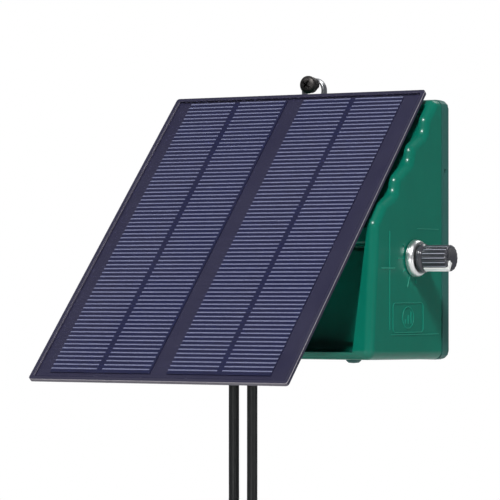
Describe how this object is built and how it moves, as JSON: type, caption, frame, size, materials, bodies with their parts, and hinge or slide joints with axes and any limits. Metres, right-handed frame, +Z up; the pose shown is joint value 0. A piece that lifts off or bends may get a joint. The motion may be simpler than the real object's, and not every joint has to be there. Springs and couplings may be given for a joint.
{
  "type": "fence energizer",
  "caption": "Wall-hung casing with a tilted solar panel in front, a rotary control on its side, and output leads with crocodile clips hanging below.",
  "frame": {"origin": "middle of the casing's flat back, where it rests on the wall", "axes": "+X to the right seen from the front, +Y into the wall, +Z up"},
  "size_m": [0.183, 0.1544, 0.4125],
  "materials": {
    "casing_green": "smooth green moulded plastic",
    "cover_grey": "grey-green moulded plastic",
    "black_plastic": "fine-textured black plastic",
    "rubber": "matt black rubber",
    "steel": "zinc-plated steel",
    "black_steel": "black phosphate screw",
    "chrome": "polished",
    "cable": "smooth black cable jacket",
    "panel_board": "dark laminate board",
    "panel_cover": "clear resin top coat",
    "solar_cell": "dark blue silicon with silver fingers",
    "knob_black": "fluted dark grey plastic",
    "pointer_white": "white inlay",
    "battery_wrap": "shrink sleeve",
    "lamp_red": "translucent red lens",
    "board_green": "solder resist",
    "copper": "enamelled copper wire",
    "ferrite": "laminated core",
    "capacitor_blue": "printed sleeve"
  },
  "bodies": {
    "energizer": {"front_shell": "casing_green", "battery_door": "casing_green", "back_cover": "cover_grey", "cover_seal": "rubber", "wall_screw": "black_steel", "drain_plug": "rubber", "panel_board": "panel_board", "panel_cover": "panel_cover", "solar_cell_1": "solar_cell", "solar_cell_2": "solar_cell", "panel_bracket": "black_plastic", "junction_box": "black_plastic", "cable_grommet": "rubber", "panel_cable": "cable", "control_bezel": "chrome", "battery_holder": "black_plastic", "test_lamp": "lamp_red", "circuit_board": "board_green", "transformer_core": "ferrite", "transformer_winding": "copper", "storage_capacitor": "capacitor_blue", "thyristor": "black_plastic", "control_chip": "black_plastic", "terminal_block": "board_green", "hanging_eye": "steel", "potentiometer": "steel", "bracket_screw_1": "steel", "bracket_screw_2": "steel", "door_screw_1": "steel", "door_screw_2": "steel", "cover_screw_1": "steel", "cover_screw_2": "steel", "cover_screw_3": "steel", "cover_screw_4": "steel", "battery_cell_1": "battery_wrap", "battery_cell_2": "battery_wrap", "battery_cell_3": "battery_wrap", "fence_gland": "rubber", "fence_gland_nut": "black_plastic", "fence_lead": "cable", "fence_lead_coil": "cable", "fence_lead_tail": "cable", "fence_clip_jaw": "steel", "fence_clip_pin": "steel", "fence_clip_spring": "steel", "earth_gland": "rubber", "earth_gland_nut": "black_plastic", "earth_lead": "cable", "earth_lead_coil": "cable", "earth_lead_tail": "cable", "earth_clip_jaw": "steel", "earth_clip_pin": "steel", "earth_clip_spring": "steel"},
    "knob": {"control_knob": "knob_black", "knob_pointer": "pointer_white", "control_shaft": "steel"},
    "fence_lever": {"fence_clip_lever": "steel"},
    "earth_lever": {"earth_clip_lever": "steel"}
  },
  "joints": [
    {"name": "control_turn", "type": "hinge", "parent": "energizer", "child": "knob", "pos_m": [0.0849, -0.037, -0.0148], "axis": [-1, 0, 0], "range_deg": [0, 300]},
    {"name": "fence_clip_squeeze", "type": "hinge", "parent": "energizer", "child": "fence_lever", "pos_m": [-0.0662, -0.04385, -0.2943], "axis": [0, -1, 0], "range_deg": [0, 15], "stiffness_Nm_per_rad": 0.05, "springref_deg": -22.92},
    {"name": "earth_clip_squeeze", "type": "hinge", "parent": "energizer", "child": "earth_lever", "pos_m": [0.0176, -0.02215, -0.2943], "axis": [0, -1, 0], "range_deg": [0, 15], "stiffness_Nm_per_rad": 0.05, "springref_deg": -22.92}
  ]
}
